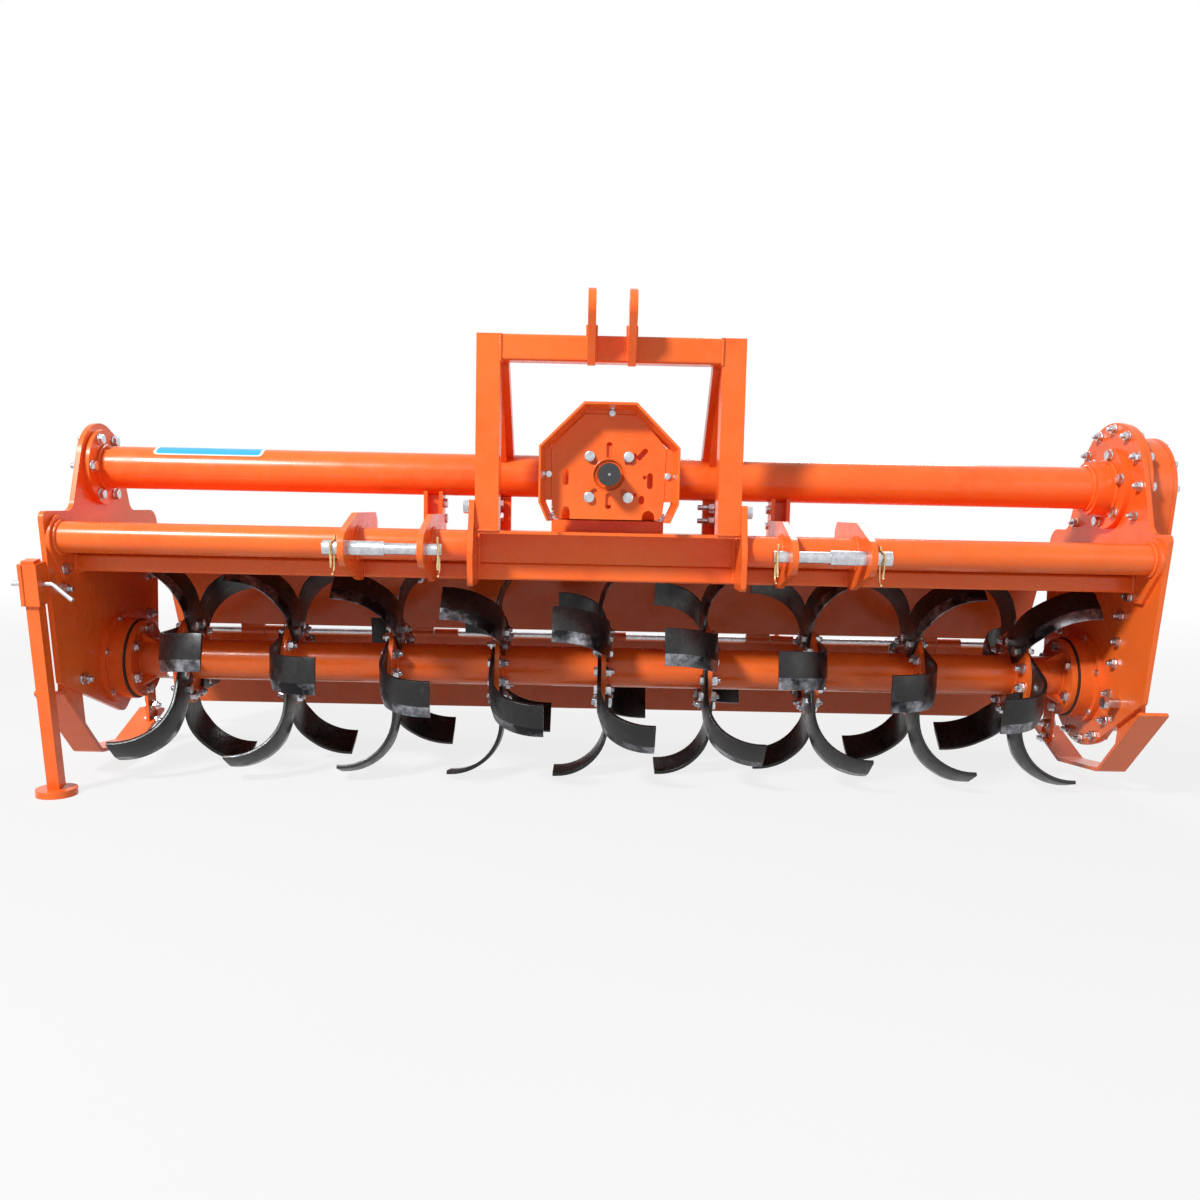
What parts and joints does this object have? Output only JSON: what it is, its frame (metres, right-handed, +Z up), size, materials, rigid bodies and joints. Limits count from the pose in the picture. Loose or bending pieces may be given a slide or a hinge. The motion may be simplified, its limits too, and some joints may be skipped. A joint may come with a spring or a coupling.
{
  "type": "tractor-mounted rotary tiller",
  "caption": "Three-point-hitch rotary tiller with a helically tined rotor under a bent hood, side gear case, shaft guard, hinged rear board, skids and parking leg.",
  "frame": {"origin": "on the floor, below the middle of the machine's overall box", "axes": "+X across the machine to the gear case, -Y forward to the tractor, +Z up"},
  "size_m": [2.3156, 0.8028, 1.009],
  "materials": {
    "red_paint": "glossy orange-red enamel over welded steel, a little worn",
    "zinc_steel": "bright zinc plate",
    "spring_steel": "black coated spring steel",
    "tine_steel": "black dipped forged steel with bright worn faces",
    "shaft_steel": "oiled machined steel",
    "black_rubber": "black rubber",
    "black_plastic": "black plastic"
  },
  "bodies": {
    "frame": {"axle_tube_left": "red_paint", "axle_tube_right": "red_paint", "bearing_housing_left": "red_paint", "bearing_housing_right": "red_paint", "centre_channel": "red_paint", "front_bar": "red_paint", "front_tube": "red_paint", "gear_case": "red_paint", "gear_case_cover": "red_paint", "gearbox": "red_paint", "gearbox_foot": "red_paint", "guard_plate": "red_paint", "guard_rim": "red_paint", "hinge_knuckles": "red_paint", "hinge_rod": "zinc_steel", "hitch_lugs_left": "red_paint", "hitch_lugs_right": "red_paint", "hitch_pin_left": "zinc_steel", "hitch_pin_right": "zinc_steel", "hood": "red_paint", "mast_brace_left": "red_paint", "mast_brace_right": "red_paint", "mast_crossbar": "red_paint", "mast_ear_left": "red_paint", "mast_ear_right": "red_paint", "mast_post_left": "red_paint", "mast_post_right": "red_paint", "rod_brackets": "red_paint", "shaft_seals": "black_rubber", "side_plate_left": "red_paint", "side_plate_right": "red_paint", "skid_left": "red_paint", "skid_links": "red_paint", "skid_right": "red_paint", "stand_lock_pin": "zinc_steel", "stand_socket": "red_paint", "top_link_lugs": "red_paint", "tube_doublers": "red_paint", "tube_supports": "red_paint"},
    "rotor": {"rotor_shaft": "red_paint", "tines_left": "tine_steel", "tines_right": "tine_steel"},
    "input": {"input_shaft": "shaft_steel", "shaft_cap": "black_plastic"},
    "rear_board": {"rear_board": "red_paint", "rod_pins": "zinc_steel"},
    "spring_rods": {"spring_rods": "zinc_steel", "rod_springs": "spring_steel", "rod_nuts": "zinc_steel"},
    "stand": {"stand_leg": "red_paint", "stand_foot": "red_paint"}
  },
  "joints": [
    {"name": "rotor_spin", "type": "hinge", "parent": "frame", "child": "rotor", "pos_m": [-0.01525, -0.0124, 0.245], "axis": [1, 0, 0], "continuous": true},
    {"name": "input_spin", "type": "hinge", "parent": "frame", "child": "input", "pos_m": [-0.01525, -0.3344, 0.665], "axis": [0, -1, 0], "continuous": true},
    {"name": "rear_board_lift", "type": "hinge", "parent": "frame", "child": "rear_board", "pos_m": [-0.01525, 0.3256, 0.272], "axis": [1, 0, 0], "range_deg": [0, 45]},
    {"name": "spring_rod_swing", "type": "hinge", "parent": "rear_board", "child": "spring_rods", "pos_m": [-0.01525, 0.3876, 0.185], "axis": [1, 0, 0], "range_deg": [-28.19, 0]},
    {"name": "stand_slide", "type": "slide", "parent": "frame", "child": "stand", "axis": [0, -0.156, 0.9878], "range_m": [0, 0.12]}
  ],
  "couplings": [
    {"joint": "input_spin", "follows": "rotor_spin", "ratio": 2.45},
    {"joint": "spring_rod_swing", "follows": "rear_board_lift", "ratio": -0.62649}
  ]
}
